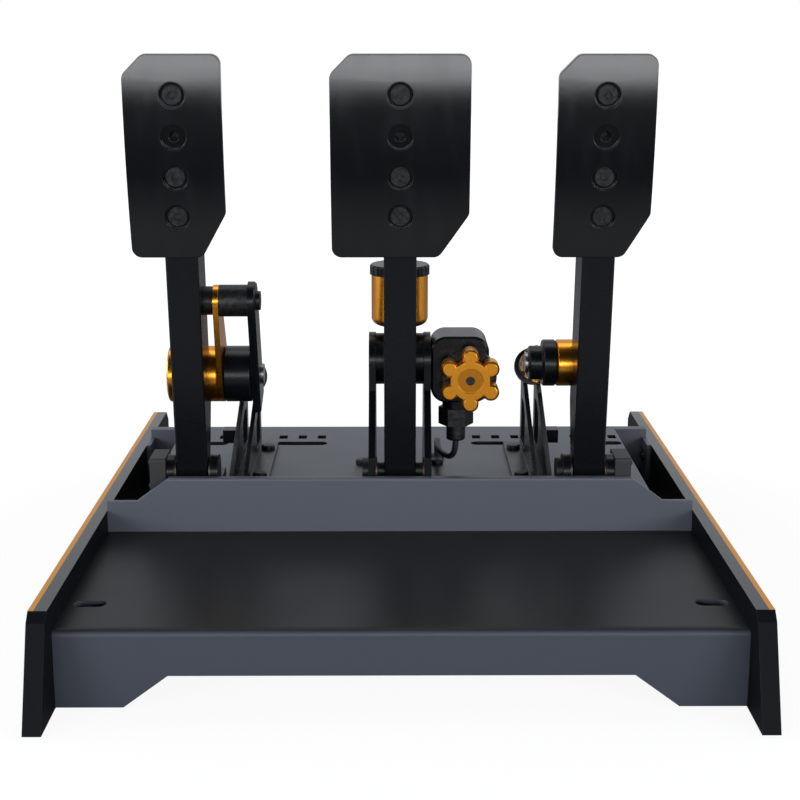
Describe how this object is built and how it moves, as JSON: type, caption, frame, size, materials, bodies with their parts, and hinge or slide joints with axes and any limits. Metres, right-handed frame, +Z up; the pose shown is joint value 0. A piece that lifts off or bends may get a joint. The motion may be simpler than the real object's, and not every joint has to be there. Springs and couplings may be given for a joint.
{
  "type": "sim racing pedal set",
  "caption": "Floor-standing sim racing pedal set: folded steel base with raised deck, clutch and throttle on spring struts, and a brake that pushes a hydraulic cylinder.",
  "frame": {"origin": "on the floor, under the middle of the base's footprint", "axes": "+X to the driver's right, +Y away from the driver, +Z up"},
  "size_m": [0.39, 0.445, 0.343],
  "materials": {
    "base_steel": "satin powder coat",
    "gold_anodised": "satin anodised",
    "black_anodised": "satin anodised",
    "plate_black": "smooth gloss",
    "bright_steel": "machined",
    "dark_screw": "black oxide",
    "spring_steel": "dark coated",
    "bush_bronze": "sintered",
    "black_plastic": "moulded",
    "black_rubber": "matt"
  },
  "bodies": {
    "frame": {"left_side_plate": "base_steel", "right_side_plate": "base_steel", "trim_strips": "gold_anodised", "heel_tray": "base_steel", "front_riser": "base_steel", "pedal_deck": "base_steel", "rear_crossmember": "base_steel", "rubber_feet": "black_rubber", "frame_screws": "dark_screw", "bracket_screws": "dark_screw", "control_box": "black_plastic", "clutch_pivot_bracket": "black_anodised", "clutch_angle_sensor": "black_plastic", "clutch_strut_bracket": "black_anodised", "clutch_strut_pin": "bright_steel", "throttle_pivot_bracket": "black_anodised", "throttle_angle_sensor": "black_plastic", "throttle_strut_bracket": "black_anodised", "throttle_strut_pin": "bright_steel", "pivot_bushes": "bush_bronze", "brake_bushes": "bush_bronze", "brake_left_cheek": "black_anodised", "brake_right_cheek": "black_anodised", "brake_cylinder": "black_anodised", "brake_reservoir": "gold_anodised", "reservoir_cap": "black_anodised", "brake_side_housing": "black_anodised", "sensor_gland": "dark_screw", "sensor_lead": "black_rubber", "lead_grommet": "black_rubber"},
    "clutch_pedal": {"clutch_arm": "black_anodised", "clutch_axle": "dark_screw", "clutch_plate": "plate_black", "clutch_plate_screws": "dark_screw", "clutch_barrel": "gold_anodised", "clutch_pin": "bright_steel", "clutch_inner_link": "gold_anodised", "clutch_cross_tube": "dark_screw", "clutch_outer_link": "black_anodised"},
    "clutch_strut": {"clutch_strut_body": "black_anodised", "clutch_spring": "spring_steel"},
    "clutch_rod": {"clutch_strut_head": "black_anodised"},
    "clutch_preload": {"clutch_collar": "gold_anodised"},
    "throttle_pedal": {"throttle_arm": "black_anodised", "throttle_axle": "dark_screw", "throttle_plate": "plate_black", "throttle_plate_screws": "dark_screw", "throttle_barrel": "gold_anodised", "throttle_pin": "bright_steel"},
    "throttle_strut": {"throttle_strut_body": "black_anodised", "throttle_spring": "spring_steel"},
    "throttle_rod": {"throttle_strut_head": "black_anodised"},
    "throttle_preload": {"throttle_collar": "gold_anodised"},
    "brake_pedal": {"brake_arm": "black_anodised", "brake_axle": "dark_screw", "brake_plate": "plate_black", "brake_plate_screws": "dark_screw"},
    "brake_push_rod": {"brake_plunger": "bright_steel"},
    "brake_star_knob": {"brake_knob": "gold_anodised"}
  },
  "joints": [
    {"name": "clutch_pedal", "type": "hinge", "parent": "frame", "child": "clutch_pedal", "pos_m": [-0.132, -0.015, 0.081], "axis": [-1, 0, 0], "range_deg": [0, 15], "stiffness_Nm_per_rad": 45, "springref_deg": -3.44},
    {"name": "clutch_strut_swivel", "type": "hinge", "parent": "frame", "child": "clutch_strut", "pos_m": [-0.1045, 0.085, 0.119], "axis": [1, 0, 0], "range_deg": [0, 2.6]},
    {"name": "clutch_strut_stroke", "type": "slide", "parent": "clutch_strut", "child": "clutch_rod", "axis": [0, 0.9672, -0.2539], "range_m": [0, 0.0163], "deforming": ["clutch_spring"]},
    {"name": "clutch_collar_turn", "type": "hinge", "parent": "clutch_rod", "child": "clutch_preload", "pos_m": [-0.1045, 0.005, 0.14], "axis": [0, 0.9672, -0.2539], "continuous": true},
    {"name": "throttle_pedal", "type": "hinge", "parent": "frame", "child": "throttle_pedal", "pos_m": [0.12, -0.015, 0.081], "axis": [-1, 0, 0], "range_deg": [0, 13], "stiffness_Nm_per_rad": 30, "springref_deg": -3.44},
    {"name": "throttle_strut_swivel", "type": "hinge", "parent": "frame", "child": "throttle_strut", "pos_m": [0.0925, 0.085, 0.126], "axis": [1, 0, 0], "range_deg": [0, 1.9]},
    {"name": "throttle_strut_stroke", "type": "slide", "parent": "throttle_strut", "child": "throttle_rod", "axis": [0, 0.9672, -0.2539], "range_m": [0, 0.0158], "deforming": ["throttle_spring"]},
    {"name": "throttle_collar_turn", "type": "hinge", "parent": "throttle_rod", "child": "throttle_preload", "pos_m": [0.0925, 0.005, 0.147], "axis": [0, 0.9672, -0.2539], "continuous": true},
    {"name": "brake_pedal", "type": "hinge", "parent": "frame", "child": "brake_pedal", "pos_m": [0, -0.015, 0.081], "axis": [-1, 0, 0], "range_deg": [0, 8], "stiffness_Nm_per_rad": 160, "springref_deg": -1.72},
    {"name": "brake_push_rod_stroke", "type": "slide", "parent": "frame", "child": "brake_push_rod", "axis": [0, 1, 0], "range_m": [0, 0.0093]},
    {"name": "brake_knob_turn", "type": "hinge", "parent": "frame", "child": "brake_star_knob", "pos_m": [0.0445, -0.0125, 0.14], "axis": [0, 1, 0], "continuous": true}
  ],
  "couplings": [
    {"joint": "clutch_strut_swivel", "follows": "clutch_pedal", "ratio": 0.16229},
    {"joint": "clutch_strut_stroke", "follows": "clutch_pedal", "m_per_rad": 0.061681},
    {"joint": "throttle_strut_swivel", "follows": "throttle_pedal", "ratio": 0.13111},
    {"joint": "throttle_strut_stroke", "follows": "throttle_pedal", "m_per_rad": 0.068672},
    {"joint": "brake_push_rod_stroke", "follows": "brake_pedal", "m_per_rad": 0.065378}
  ]
}
